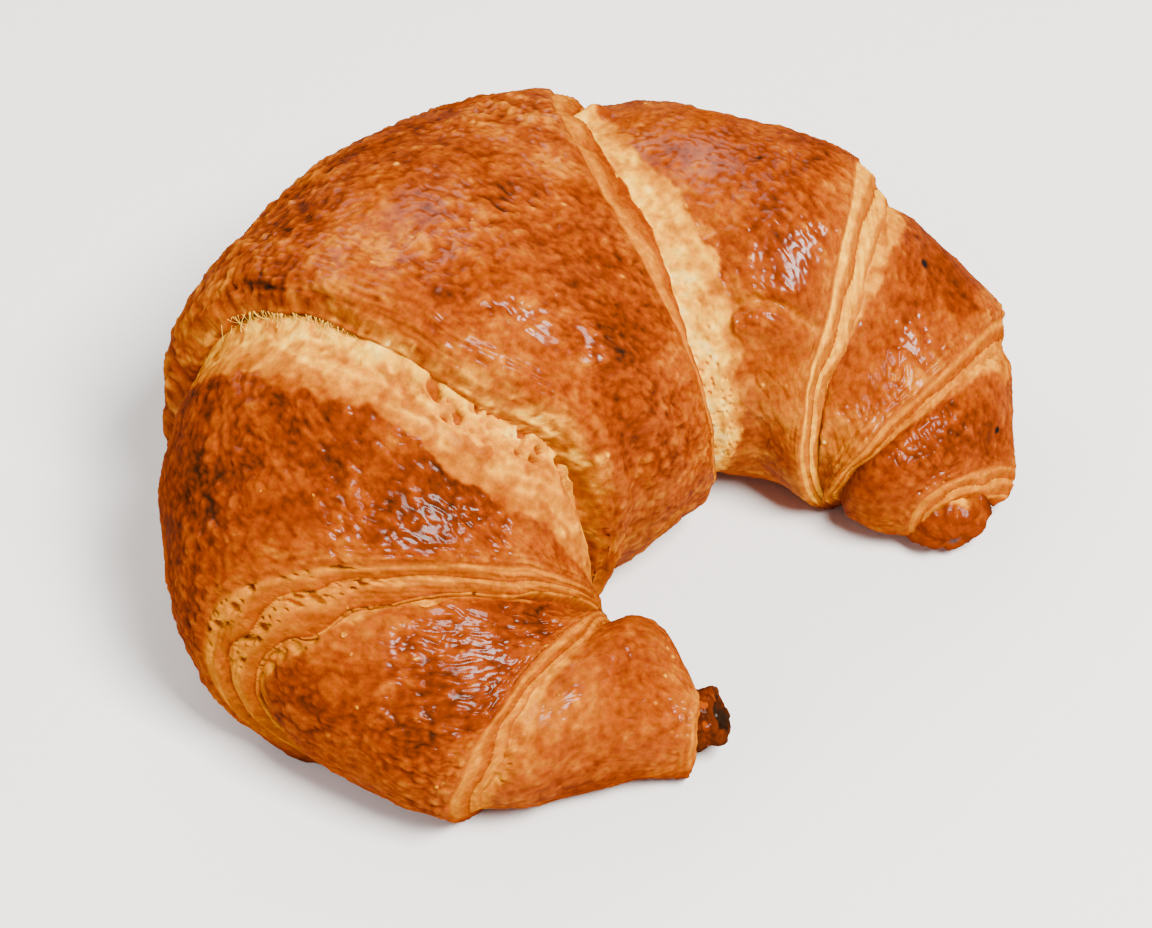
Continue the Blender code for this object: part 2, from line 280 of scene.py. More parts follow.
def by_angle(table, angles):
    """The value of a table at each angle round the roll."""
    table = np.array(table, dtype=float)
    return np.interp(np.degrees(angles), table[:, 0], table[:, 1], period=360.0)


def ease(x, low=0.0, high=1.0):
    """A smooth step, 0 up to low and 1 from high."""
    x = np.clip((x - low) / (high - low), 0.0, 1.0)
    return x * x * (3.0 - 2.0 * x)


# Form
def natural_spline(knots, values):
    """A cubic curve through the values, as a function of the place along the knots."""
    gaps = np.diff(knots)
    last = len(knots) - 1
    system = np.eye(last + 1)
    bends = np.zeros_like(values)
    for i in range(1, last):
        system[i, i - 1:i + 2] = gaps[i - 1], 2 * (gaps[i - 1] + gaps[i]), gaps[i]
        bends[i] = 6 * ((values[i + 1] - values[i]) / gaps[i] - (values[i] - values[i - 1]) / gaps[i - 1])
    curve = np.linalg.solve(system, bends)

    def at(place):
        """The curve's value at a place."""
        i = np.clip(np.searchsorted(knots, place) - 1, 0, last - 1)
        gap = gaps[i][..., None]
        left, right = (knots[i + 1] - place)[..., None], (place - knots[i])[..., None]
        cubic = (curve[i] * left ** 3 + curve[i + 1] * right ** 3) / (6 * gap)
        return (cubic + (values[i] / gap - curve[i] * gap / 6) * left
                + (values[i + 1] / gap - curve[i + 1] * gap / 6) * right)

    return at


def lay_out_rows():
    """The place of each row along the roll, and the curve of outline and height through the rows."""
    table = np.array([[*outer, *inner, height] for outer, inner, height in ROWS.values()])
    outer_steps = np.linalg.norm(np.diff(table[:, 0:2], axis=0), axis=1)
    inner_steps = np.linalg.norm(np.diff(table[:, 2:4], axis=0), axis=1)
    places = np.concatenate([[0.0], np.cumsum((outer_steps + inner_steps) / 2)])
    return dict(zip(ROWS, places)), natural_spline(places, table)


PLACES, OUTLINE = lay_out_rows()


def around_angles(count, hidden_degrees=62, hidden_share=0.35, fine_steps=4001):
    """Angles round a section from under the roll, closer together where the roll is seen."""
    fine = np.linspace(-np.pi / 2, 1.5 * np.pi, fine_steps)
    from_below = np.minimum(np.abs(fine + np.pi / 2), np.abs(fine - 1.5 * np.pi))
    density = np.where(from_below < np.radians(hidden_degrees), hidden_share, 1.0)
    share = np.concatenate([[0.0], np.cumsum(density[:-1])])
    return np.interp(np.arange(count) / count * share[-1], share, fine)


def seam_place(name, angles):
    """Where a seam lies along the roll at each angle."""
    shift, lean, tilt = SEAMS.get(name, (0.0, 0.0, 0.0))
    return PLACES[name] + shift + lean * np.cos(angles) + tilt * np.sin(angles)


def section(place, skin, angles):
    """Points of the roll at places along it, raised by the skin."""
    row = OUTLINE(place)
    middle, reach = (row[..., 0:2] + row[..., 2:4]) / 2, (row[..., 0:2] - row[..., 2:4]) / 2
    half_width = np.linalg.norm(reach, axis=-1)
    height = row[..., 4]
    wide, tall = np.cos(angles), np.sin(angles)
    wide = np.sign(wide) * np.abs(wide) ** SQUARENESS
    tall = np.sign(tall) * np.abs(tall) ** SQUARENESS
    axis = AXIS_SHARE * height
    half_height = np.where(tall > 0, height - axis, axis + SINK_SHARE * height)
    width_scale = np.maximum(half_width + skin, THINNEST * half_width) / half_width
    flat = middle + reach * (width_scale * wide)[..., None]
    up = axis + np.maximum(half_height + skin, THINNEST * half_height) * tall
    return np.concatenate([flat, up[..., None]], axis=-1)


def pitch(place, angles):
    """Millimetres along the skin for each unit of place."""
    moved = section(place + 1.0, 0.0 * place, angles) - section(place - 1.0, 0.0 * place, angles)
    return np.linalg.norm(moved, axis=-1) / 2


def grid_normals(points):
    """Unit normals of a grid of points that closes on itself round the roll."""
    along = np.gradient(points, axis=0)
    around = (np.roll(points, -1, axis=1) - np.roll(points, 1, axis=1)) / 2
    normals = np.cross(along, around)
    normals /= np.linalg.norm(normals, axis=-1)[..., None] + TINY
    outwards = points - points.mean(axis=1, keepdims=True)
    if (normals * outwards).sum() < 0:
        normals = -normals
    return normals


def arm_body(spec, angles, seed):
    """Place and skin of an arm wrap's rings from hidden root to lip, the lip's place and which way it lies."""
    root, end = spec["seams"]
    root_skin, belly, lip = spec["skin"]
    start, stop = seam_place(root, angles), seam_place(end, angles)
    onward = np.sign(np.mean(stop - start))
    if root == "left_1":
        start = start - onward * by_angle(SEAM_BACK, angles)
    rim = section(stop, 0.0 * stop, angles)
    scale = np.maximum(pitch(stop, angles), 0.5)
    stop = stop - onward * by_angle(spec.get("set_back", ((0, 0.0),)), angles)
    stop = stop + onward * (0.7 * noise(rim / 9.0, seed) + 0.12 * noise(rim / 2.6, seed + 1)) / scale
    rings = [(start + onward * back, root_skin + back * ROOT_SLOPE + 0 * angles) for back in HIDDEN_RINGS]
    for t in np.linspace(0.0, 1.0, spec["rings"]):
        swell = belly * np.sin(np.pi * t) ** 0.8
        offset = root_skin * ease(1 - t / 0.35) + swell + lip * ease((t - 0.6) / 0.4)
        rings.append((start * (1 - t) + stop * t, offset + 0 * angles))
    return rings, stop, onward


def lip_rings(stop, onward, lip, angles, width, drop, layers, tuck, seed, count):
    """Rings over a layered lip: uneven treads and risers, then a turn under the last edge.

    Each ring has its place, its skin, its share of the lip and how far it lies across a tread.
    """
    first_edge = 0.16
    rim = section(stop, 0.0 * stop, angles)
    scale = pitch(stop, angles)
    space = np.clip(scale, 0.2, 1.0)
    reach = np.clip(by_angle(width, angles) / np.maximum(scale, 0.2), 0.4, 7.0)
    reach = reach * (1 + 0.14 * noise(rim / 6.0, seed + 3))
    wave = 0.65 * noise(rim / 11.0, seed) + 0.16 * noise(rim / 4.5, seed + 1)
    strength = 0.15 + 0.8 * ease(0.5 + 0.9 * noise(rim / 9.0, seed + 2))
    rings = []
    for u in np.linspace(1.0 / count, 1.0, count):
        edge = first_edge * ease(u, 0.0, 0.1)
        x = np.clip(u * layers + wave * np.sin(np.pi * u), 0.0, layers)
        tread = x - np.floor(x)
        step = np.floor(x) + ease(tread, 0.66, 0.94) + 0.05 * np.exp(-((tread - 0.96) / 0.05) ** 2)
        fall = edge + (1 - first_edge) * ((1 - strength) * x + strength * step) / layers
        rings.append((stop + onward * u * reach, lip - drop * fall * space, u + 0 * angles, tread))
    for share, fall in UNDER_LIP:
        advance = share * tuck + 0.08
        rings.append((stop + onward * (reach + advance), lip - drop * space - fall,
                      1.0 + 0.1 * fall + 0 * angles, 1.0 + 0 * angles))
    return rings


def stack(rings, column):
    """One column of a list of rings, as an array."""
    return np.array([ring[column] for ring in rings])


def measure(wrap):
    """True distances along the skin: from the root, to the lip, and past the lip at either end."""
    steps = np.linalg.norm(np.diff(wrap["points"], axis=0), axis=-1)
    along = np.concatenate([np.zeros((1, steps.shape[1])), np.cumsum(steps, axis=0)])
    first, last = wrap["first"], wrap["last"]
    wrap["from_end"] = along - along[wrap["edge"]]
    wrap["from_root"] = along - along[first]
    wrap["to_lip"] = along[last] - along
    wrap["past"] = np.maximum(-wrap["to_lip"], 0.0)
    wrap["before"] = np.maximum(-wrap["from_root"], 0.0)
    circle = wrap["points"][(first + last) // 2]
    radius = np.linalg.norm(circle - np.roll(circle, 1, axis=0), axis=-1).sum() / (2 * np.pi)
    around = np.stack([np.cos(wrap["angles"]), np.sin(wrap["angles"])], axis=-1) * radius
    around = np.broadcast_to(around, along.shape + (2,))
    wrap["flat"] = np.concatenate([wrap["from_root"][..., None], around], axis=-1)
    return wrap


def build_arm(name, spec):
    """A wrap on an arm, as a grid of rings from under its neighbour to under its own lip."""
    angles = around_angles(spec["around"])
    seed = WRAP_SEED + 10 * list(WRAPS).index(name)
    body, stop, onward = arm_body(spec, angles, seed)
    widest = max(width for _, width in spec["width"])
    lip_count = max(FEWEST_LIP_RINGS, int(widest / LIP_RING_STEP))
    lip = lip_rings(stop, onward, spec["skin"][2], angles, spec["width"], spec["drop"], spec["layers"],
                    ARM_TUCK + 0 * angles, seed + 2, lip_count)
    place = np.concatenate([stack(body, 0), stack(lip, 0)])
    skin = np.concatenate([stack(body, 1), stack(lip, 1)])
    zeros = np.zeros((len(body), len(angles)))
    band = np.concatenate([zeros, stack(lip, 2)])
    root = len(HIDDEN_RINGS)
    return measure(dict(
        name=name, spec=spec, seed=seed, angles=angles,
        points=section(place, skin, angles[None] + 0 * place),
        first=root, last=len(body) - 1, edge=root, band=band, left_band=0 * band,
        tread=np.concatenate([zeros, stack(lip, 3)])))


def build_crown(name, spec):
    """The crown, as a grid of rings with a lip that overlaps its neighbour at either end."""
    angles = around_angles(spec["around"])
    seed = CROWN_SEED
    left, right = (seam_place(seam, angles) for seam in spec["seams"])
    left_lip, belly, right_lip = spec["skin"]
    left_rim, right_rim = (section(seam, 0.0 * seam, angles) for seam in (left, right))
    left = left + by_angle(spec["set_back"], angles) + by_angle(SEAM_BACK, angles)
    left = left + 0.5 * noise(left_rim / 9.0, seed) + 0.2 * noise(left_rim / 2.6, seed + 1)
    right = right + 0.6 * noise(right_rim / 8.0, seed + 2) + 0.35 * noise(right_rim / 3.0, seed + 3)
    left_drop, left_tuck, left_rings = 4.0, by_angle(spec["tuck"], angles), 12
    right_drop, right_tuck, right_rings = 3.4, 1.0 + 0 * angles, 24
    on_left = lip_rings(left, -1.0, left_lip, angles, spec["width_left"], left_drop, 1, left_tuck, seed + 4,
                        left_rings)[::-1]
    on_right = lip_rings(right, 1.0, right_lip, angles, spec["width_right"], right_drop, 1, right_tuck,
                         seed + 9, right_rings)
    body = []
    for t in np.linspace(0.0, 1.0, spec["rings"]):
        offset = left_lip * ease(1 - t / 0.3) + belly * 4 * t * (1 - t) + right_lip * ease((t - 0.7) / 0.3)
        body.append((left * (1 - t) + right * t, offset + 0 * angles, 0 * angles, 0 * angles))
    order = on_left + body + on_right
    place, skin, band, tread = (stack(order, column) for column in range(4))
    side = np.arange(len(order))[:, None] < len(on_left)
    return measure(dict(
        name=name, spec=spec, seed=seed, angles=angles,
        points=section(place, skin, angles[None] + 0 * place),
        first=len(on_left), last=len(on_left) + len(body) - 1, edge=len(UNDER_LIP),
        band=np.where(side, 0, band), left_band=np.where(side, band, 0), tread=tread))


# Skin. Numbers beside a noise are its strength and its size in millimetres, and the last one is its seed.
def light_dough(wrap):
    """1 on the light dough near a root and on the layers past a lip, 0 on the browned crust.

    The second result runs from 0 at the root to 1 where the light dough ends.
    """
    p, from_root = wrap["points"], wrap["from_root"]
    ragged = 1.6 * noise(p / 6.0, wrap["seed"] + 20) + 1.1 * noise(p / 2.6, wrap["seed"] + 21)
    ragged = ragged + 0.5 * noise(p / 1.2, 22)
    layers = ease(wrap["band"], 0.0, 0.12)
    if "pale" not in wrap["spec"]:
        return layers, 0 * layers
    width = by_angle(wrap["spec"]["pale"], wrap["angles"])[None]
    if wrap["name"] == "roll_left_1":
        width = width + 0.65 * by_angle(SEAM_BACK, wrap["angles"])[None]
    depth = width - from_root + ragged * np.clip(width / 8.0, 0.2, 1.0)
    return np.maximum(layers, ease(depth, -0.5, 0.7)), np.clip(from_root / np.maximum(width, 0.5), 0, 1)


def roughness_of(wrap, angles):
    """How strongly the crust is wrinkled: calmer on an arm's inner side, stronger outside on the crown."""
    rough = wrap["spec"]["rough"] * (0.45 + 0.75 * ease(0.5 + 0.8 * noise(wrap["points"] / 15.0, 59)))
    if wrap["name"] == "crown":
        return rough * (1.0 + 0.35 * ease(95.0 - angles, 0.0, 45.0))
    return rough * (1.0 - 0.6 * ease(angles, 122.0, 160.0) * ease(235.0 - angles, 0.0, 20.0))


def crust_relief(wrap, angles, drift):
    """Heights of the browned crust. Its folds, creases, blisters and beads, and a mask of the wrinkles'
    hollows for painted shade, stay in the wrap for the bake.
    """
    p = wrap["points"]
    rough = roughness_of(wrap, angles)
    folds = noise(drift / np.array([3.8, 2.8, 2.8]), 36)
    wrinkles = noise(drift / np.array([1.7, 1.3, 1.3]), 37)
    calm = ease(0.5 + 0.9 * noise(p / 13.0, 38))
    lift = np.abs(folds) * (0.3 + 0.4 * calm) + 0.38 * np.abs(wrinkles)
    lift = (lift - 0.3) * rough
    # A mask of the wrinkles' hollows, which the bake darkens as painted shade
    valleys = 0.6 * np.exp(-(folds / 0.10) ** 2) + 0.5 * np.exp(-(wrinkles / 0.13) ** 2)
    crease = np.exp(-(noise(drift / np.array([8.0, 4.2, 4.2]), 39) / 0.045) ** 2)
    crease = crease * ease(0.3 + noise(p / 6.0, 40))
    near, tag = bubbles(p / 5.0, 41)
    blister = ease(0.34 - near, 0.0, 0.26) * (tag > 0.62)
    near, tag = bubbles(drift / 1.9, 58)
    bead = ease(0.30 - near, 0.0, 0.2) * (tag > 0.55)
    ripple = noise(p / 1.05, 60)
    wrap.update(lift=lift, valleys=valleys * np.clip(rough, 0.4, 1.1), crease=crease, blister=blister,
                bead=bead, ripple=ripple)
    return 0.95 * lift - 0.24 * crease + 0.28 * blister + 0.13 * bead + 0.15 * ripple * rough


def fold_across(wrap, angles, crust):
    """The fold that runs along the first right wrap's inner side: its line, and the fuller skin below it."""
    if wrap["name"] != "roll_right_1":
        return 0 * crust, 0 * crust
    bend = (angles - 140.0 + 0.5 * wrap["from_root"] + 1.5 * noise(wrap["points"] / 6.0, 69)) / 1.6
    line = np.exp(-bend ** 2) * ease(wrap["to_lip"], 0.0, 2.0) * crust
    below = ease(bend, 0.0, 1.6) * ease(9.0 - bend, 0.0, 7.0) * ease(wrap["to_lip"], 0.0, 3.0) * crust
    return line, below


def lamination(wrap, angles, crust):
    """Fine lines of lamination in the crust beside a lip: where they show, and the lines themselves."""
    p = wrap["points"]
    crown = wrap["name"] == "crown"
    edge = wrap["from_end"] if crown else wrap["to_lip"]
    reach = 12.0 if crown else 4.0
    beside = crust * ease(reach - edge, 0.0, 3.0) * ease(edge, -0.5, 0.4)
    if crown:
        beside = beside * ease(angles, 35.0, 60.0) * (1.0 - 0.6 * ease(angles, 100.0, 120.0))
    lines = np.sin(2 * np.pi * (edge + 0.7 * noise(p / 8.0, 46)) / (1.25 + 0.1 * noise(p / 14.0, 47)))
    return beside, lines * ease(0.45 + noise(wrap["flat"] / np.array([2.0, 9.0, 9.0]), 48))


def open_pores(wrap, angles, drift, dough):
    """The open crumb: where it is open, how deep it is there, and where the pockets in the row by the crown
    get painted shade.
    """
    near, tag = bubbles(drift / 1.15, 49)
    small = ease(0.46 - near, 0.0, 0.3) * (tag > 0.3)
    near, tag = bubbles(drift / np.array([2.4, 3.0, 3.0]), 50)
    large = ease(0.52 - near, 0.0, 0.22) * (tag > 0.25)
    pores, pockets = pore_zones(wrap, angles)
    open_crumb = dough * np.maximum(small * pores, large * pockets)
    # Painted shade for the deep pockets in the row by the crown
    holes = open_crumb * pockets * (wrap["name"] == "roll_left_1") * (angles > 90)
    return open_crumb, open_crumb * (0.40 * pores + 1.25 * pockets), ease(holes, 0.45, 0.9)


def shape_skin(wrap):
    """Heights of the skin over the smooth form, in millimetres. What the bake needs stays in the wrap."""
    p, flat = wrap["points"], wrap["flat"]
    angles = np.degrees(wrap["angles"])[None]
    dough, share = light_dough(wrap)
    crust = 1 - dough
    sheets = (wrap["band"] > 0) * (wrap["band"] < 1.0)
    drift = flat + warped(p, 5.0, 31)
    lumps = 0.34 * noise(p / 10.0, 34) + 0.24 * noise(p / 5.0, 35)
    fold_line, below_fold = fold_across(wrap, angles, crust)
    height = lumps * (0.5 + 0.5 * crust) + crust * crust_relief(wrap, angles, drift)
    height = height + 1.1 * below_fold - 1.0 * fold_line

    # Crumb heaped on a root, flaked places, streaks in the light dough and lumps
    heap = wrap["spec"].get("heap", 0.0) * (0.55 + 0.45 * ease(angles, 78.0, 98.0))
    heap = heap * ease(175.0 - angles, 0.0, 20.0) * (1.0 - 0.45 * ease(angles, 104.0, 128.0))
    height = height + heap * np.exp(-((wrap["from_root"] + 1.8) / 3.0) ** 2)
    flaked = spots_of(p, FLAKED) + 0.35 * noise(drift / 2.0, 84) + 0.2 * noise(p / 0.9, 85)
    flaked = crust * ease(flaked, 0.5, 0.66)
    streak = noise(drift / np.array([1.6, 4.5, 4.5]), 43)
    grain = 0.10 * streak + 0.16 * noise(p / 2.6, 44) + 0.07 * noise(p / 0.9, 45)
    height = height - 0.22 * flaked + dough * grain * (1 - 0.6 * sheets)
    height = height + spots_of(p, LUMPS.get(wrap["name"], ()))

    # Lines along the layers, and open pores
    beside, lines = lamination(wrap, angles, crust)
    height = height + 0.15 * beside * lines
    height = height + sheets * 0.07 * np.sin(2 * np.pi * (wrap["past"] + 0.5 * noise(p / 6.0, 68)) / 0.95)
    open_crumb, depth, holes = open_pores(wrap, angles, drift, dough)
    wrap.update(dough=dough, share=share, fold_line=fold_line, flaked=flaked, streak=streak, beside=beside,
                lines=lines, open_crumb=open_crumb, holes=holes)
    return height - depth


def pore_zones(wrap, angles):
    """Where the crumb shows small pores and where it shows larger pockets, from 0 to 1."""
    root, past = wrap["from_root"], wrap["past"]
    none = 0 * root
    if wrap["name"] == "roll_left_1":
        row = ease(angles, 84, 104) * ease(172 - angles, 0, 12) * ease(5.6 - root, 0, 2.4)
        hollow = ease(angles, 34, 46) * ease(84 - angles, 0, 12) * ease(2.6 - root, 0, 1.6)
        tread = ease(0.62 - wrap["tread"], 0, 0.15) * (past > 1.5)
        gap = ease(angles, 2, 20) * ease(92 - angles, 0, 20) * tread
        return 0.7 * row + 0.5 * ease(past, 0.5, 2.0), np.maximum(np.maximum(row, 0.7 * hollow), 1.2 * gap)
    if wrap["name"] == "roll_left_2":
        side = ease(angles, 5, 22) * ease(108 - angles, 0, 16)
        return 0.7 * side * (past < 0.1) + 0.4 * ease(past, 0.5, 2.0), 0.75 * side * (past < 0.1)
    if wrap["name"] == "roll_right_1":
        side = ease(angles, 84, 112) * ease(215 - angles, 0, 25) * ease(9.5 - root, 0, 3.0)
        return 0.9 * side + 0.4 * ease(past, 0.5, 2.0), 0.3 * side * ease(angles, 120, 150)
    if wrap["name"] == "roll_left_3":
        patch = ease(angles, -5, 12) * ease(62 - angles, 0, 20) * ease(8.0 - root, 0, 2.0)
        return 0.7 * patch, 0.6 * patch
    return 0.4 * ease(past, 0.5, 2.0) + 0.35 * (past < 0.1), none


# Bake, from 0 for white crumb to 1 for the darkest crust
def crust_tone(wrap, cloud, golden):
    """The bake of the browned crust: painted shade in the hollows and creases of its wrinkles and painted
    light on their ridges, and lighter on flaked places.
    """
    spec, p = wrap["spec"], wrap["points"]
    crown = wrap["name"] == "crown"
    vivid = 1.25 if crown else 1.0
    tone = spec["tone"] + vivid * (cloud - 0.12 * golden) + spots_of(p, PATCHES[wrap["name"]])
    tone = tone - 0.17 * wrap["flaked"] - 0.22 * wrap["fold_line"]
    # Painted shade in the wrinkles' hollows and creases, and painted light on their raised ridges
    tone = tone + vivid * (0.08 * wrap["valleys"] - 0.51 * wrap["lift"]) + 0.10 * wrap["crease"]
    # Painted light on the raised ripples; blisters and beads are lighter golden spots
    tone = tone - 0.10 * wrap["blister"] - 0.06 * wrap["bead"] - 0.04 * wrap["ripple"]
    tone = tone - wrap["beside"] * (0.03 + 0.08 * wrap["lines"])
    lip = np.minimum(wrap["from_root"], wrap["to_lip"]) if crown else wrap["to_lip"]
    tone = tone - (0.05 if crown else 0.12) * np.exp(-np.maximum(lip, 0.0) / 2.6)
    return np.maximum(tone, 0.27 + 0.05 * noise(p / 1.3, 67))


def dough_tone(wrap, warp):
    """The bake of the light dough at a root, and of the layers past a lip with their golden edges. The pockets
    in the row by the crown get painted shade.
    """
    spec, p, band, tread = wrap["spec"], wrap["points"], wrap["band"], wrap["tread"]
    mottled = 0.5 if wrap["name"] == "roll_right_1" else 1.0
    low = spec.get("dough", DOUGH_TONE) + 0.10 * noise((p + warp) / 3.4, 54) + 0.09 * wrap["streak"]
    low = low + 0.07 * noise(p / 1.3, 67) + 0.11 * ease(wrap["share"], 0.4, 1.0)
    low = low + 0.15 * mottled * ease(noise((p + warp) / 2.6, 86), 0.15, 0.5)
    low = low - 0.12 * np.exp(-np.maximum(wrap["from_root"], 0.0) / 3.0)
    layered = spec.get("layer", LAYER_TONE) + 0.20 * ease(tread, 0.45, 0.8)
    layered = layered + 0.07 * noise(wrap["flat"] / np.array([1.2, 6.0, 6.0]), 55)
    layered = layered + 0.06 * noise(p / 1.8, 56)
    layered = layered + 0.20 * ease(tread, 0.86, 0.96) * (band < 1.0)
    layered = layered + 0.30 * ease(0.14 - band, 0.0, 0.12) + 0.3 * ease(band, 1.05, 1.3)
    low = np.where(band > 0, layered, low)
    pore = 0.7 * wrap["open_crumb"]
    # Pores are pale, and the pockets in the row by the crown get painted shade
    return low * (1 - pore) + 0.09 * pore + 0.36 * wrap["holes"]


def crown_lip_tone(wrap, angles):
    """Changes on the crown's left lip: a darker strip above the threads and golden bands at its edge."""
    edge = wrap["from_end"]
    strip = np.exp(-((edge - 4.0) / 1.1) ** 2) * ease(angles, 38, 50) * ease(82 - angles, 0, 14)
    change = 0.30 * strip * ease(0.5 + noise(wrap["points"] / 3.0, 63)) - 0.10 * ease(1.8 - edge, 0.0, 1.2)
    return change - 0.10 * ease(4.8 - edge, 0.0, 1.4) * ease(angles, 80, 100) * ease(172 - angles, 0, 20)


def bake_tone(wrap):
    """How far each point of a wrap is baked, with painted shade in its hollows and pockets and painted light
    on its ridges.
    """
    p, dough = wrap["points"], wrap["dough"]
    warp = warped(p, 3.0, 64)
    cloud = 0.09 * noise(p / 17.0, 51) + 0.12 * noise(p / 7.0, 52) + 0.10 * noise((p + 0.5 * warp) / 3.0, 53)
    cloud = cloud + 0.15 * noise((p + 0.4 * warp) / 1.25, 61)
    golden = ease(noise((p + 0.9 * warp) / 5.5, 82) + 0.5 * noise(p / 1.9, 83), 0.40, 0.60)
    tone = crust_tone(wrap, cloud, golden) * (1 - dough) + dough_tone(wrap, warp) * dough
    if wrap["name"] == "crown":
        tone = tone + crown_lip_tone(wrap, np.degrees(wrap["angles"])[None])
    underside = ease(7.0 - p[..., 2], 0.0, 5.0)
    tone = tone * (1 - underside) + underside * (0.72 + 0.5 * cloud)
    near, tag = bubbles(p / 3.4, 62)
    tone = tone - 0.30 * ease(0.13 - near, 0.0, 0.06) * (tag > 0.6) * (1 - dough)
    for x, y, z, radius in SPECKS:
        distance = np.sqrt(((p - np.array([x, y, z])) ** 2).sum(-1))
        tone = tone + ease(radius - distance, 0.0, 0.35)
    return np.clip(tone, 0.0, DARKEST)


def glaze(wrap):
    """How glossy each point of a wrap is: patchy on the crust, none on light dough and under the roll."""
    p = wrap["points"]
    patchy = (0.32 + 0.4 * noise(p / 8.0, 57)) * ease(p[..., 2], 3.0, 12.0)
    return (1 - wrap["dough"]) * wrap["spec"].get("gloss", 1.0) * patchy


def finish_points(wrap, index):
    """Raise the skin on the smooth form, and each wrap a hair higher off the table than the last."""
    normals = grid_normals(wrap["points"])
    hidden = ease(wrap["band"], 1.0, 1.3) + ease(wrap["left_band"], 1.0, 1.3)
    hidden = hidden + ease(wrap["before"], 1.5, 4.0)
    height = shape_skin(wrap) * (1 - np.clip(hidden, 0, 1))
    points = wrap["points"] + normals * height[..., None]
    points[..., 2] = np.maximum(points[..., 2], 0.03 * index)
    wrap["final"] = points


# Tips
def core_rings(spec, length, burnt):
    """How far each ring of a tip reaches and its share of the full size. A burnt tip also has a sunk end."""
    bar_rings, dome_rings, face_rings = 44, 12, 14
    straight = length - spec["dome"]
    turn = np.linspace(0.08, np.pi / 2, dome_rings)
    reaches = [np.linspace(0.0, straight, bar_rings), straight + spec["dome"] * np.sin(turn)]
    sizes = [np.ones(bar_rings), spec["blunt"] + (1 - spec["blunt"]) * np.cos(turn)]
    if burnt:
        reaches.append(length - np.linspace(0.3, 2.4, face_rings))
        sizes.append(np.linspace(0.58, 0.06, face_rings))
    return np.concatenate(reaches)[:, None], np.concatenate(sizes)[:, None]


def burnt_looks(points, rough, face):
    """Bake and gloss of the charred tip, with lighter spots on its top and a wet glint on its end."""
    tone = 0.93 + 0.10 * rough + face * 0.2 + 0.06 * noise(points / 0.8, 75)
    lighter = ease(noise(points / 1.6, 76), 0.25, 0.5) * (1 - face) * ease(points[..., 2], 9.0, 11.5)
    return tone - 0.45 * lighter, 0.12 + 0.5 * face * ease(noise(points / 0.7, 77), 0.1, 0.4)


def knob_looks(points, rough, reach_share):
    """Bake and gloss of the golden knob, with a torn spot of light dough on its top."""
    torn_at, torn_size = np.array([33.5, -54.5, 12.5]), 3.4
    torn = ease(torn_size - np.sqrt(((points - torn_at) ** 2).sum(-1)) + rough, 0.0, 1.2)
    tone = 0.68 + 0.20 * rough + 0.06 * np.sin(9.0 * reach_share + 3.0 * rough)
    tone = tone + 0.20 * ease(points[..., 0], 34.0, 39.0)
    return tone * (1 - torn) + 0.14 * torn, 0.16 * (1 - torn)


def build_core(name, spec):
    """An end of the rolled sheet: a short bar with a ragged end, burnt on the left, golden on the right."""
    burnt = name == BURNT_TIP
    start, stop = np.array(spec["start"]), np.array(spec["stop"])
    length = np.linalg.norm(stop - start)
    along = (stop - start) / length
    across = np.array([-along[1], along[0], 0.0])
    across /= np.linalg.norm(across)
    upward = np.cross(along, across)
    angles = np.linspace(0.0, 2 * np.pi, TIP_AROUND, endpoint=False)
    reaches, sizes = core_rings(spec, length, burnt)
    offset = (spec["half_width"] * sizes * np.cos(angles))[..., None] * across
    offset = offset + (spec["half_height"] * sizes * np.sin(angles))[..., None] * upward
    points = start + reaches[..., None] * along + offset
    if burnt:
        slant = offset @ TOWARDS_CAMERA
        points = points - (0.55 * slant * ease(reaches, 0.3 * length, length))[..., None] * along
    rough = layered_noise(points / 2.6, 3, 70)
    face = 0 * reaches
    if burnt:
        face = ease(np.arange(len(reaches))[:, None] / (len(reaches) - 1.0), 0.76, 0.84)
        height = 0.55 * rough
        tone, gloss = burnt_looks(points, rough, face)
    else:
        height = 0.6 * rough + 0.5 * np.abs(np.sin(points @ KNOB_FOLDS + 1.2 * rough))
        tone, gloss = knob_looks(points, rough, reaches / length)
    height = height + 0.25 * noise(points / 0.9, 74) * (0.4 + face)
    final = points + grid_normals(points) * (height * ease(reaches, 0.0, 1.0))[..., None]
    final[..., 2] = np.maximum(final[..., 2], TIP_LOWEST)
    return final, np.clip(tone, 0.0, DARKEST), gloss


# Threads and crumbs
def strand(path, radius, sides=6):
    """Points of a thin round thread along a path, thinner in the middle."""
    along = np.gradient(path, axis=0)
    along /= np.linalg.norm(along, axis=1)[:, None] + TINY
    side = np.cross(along, (0.3, 0.2, 1.0))
    side /= np.linalg.norm(side, axis=1)[:, None] + TINY
    other = np.cross(along, side)
    turn = np.linspace(0.0, 2 * np.pi, sides, endpoint=False)
    from_middle = np.linspace(-0.5, 0.5, len(path))
    thickness = radius * (0.45 + 2.2 * from_middle ** 2)[:, None, None]
    circle = side[:, None] * np.cos(turn)[:, None] + other[:, None] * np.sin(turn)[:, None]
    return path[:, None] + thickness * circle


def web_strands(crown, roll, count=110, steps=9):
    """Threads of crumb that still join the crown's left lip to the roll beneath it."""
    chance = np.random.default_rng(5)
    rings = []
    lip_ring = np.argmax(crown["left_band"][:, 0] < 0.98)
    share = np.linspace(0.0, 1.0, steps)[:, None]
    for _ in range(count):
        angle = np.radians(chance.uniform(40, 84))
        i = np.abs(crown["angles"] - angle).argmin()
        top = crown["final"][lip_ring, i]
        j = np.linalg.norm(roll["final"][roll["first"]] - top, axis=-1).argmin()
        j = (j + int(chance.integers(-7, 8))) % len(roll["angles"])
        k = np.abs(roll["from_root"][:, j] - chance.uniform(-1.8, 1.2)).argmin()
        foot = roll["final"][k, j]
        top = top * 0.78 + foot * 0.22
        sag = (chance.normal(0.0, 0.2, 3) - np.array([0, 0, 0.4])) * np.sin(np.pi * share)
        rings.append(strand(top * (1 - share) + foot * share + sag, chance.uniform(0.04, 0.09)))
    return rings


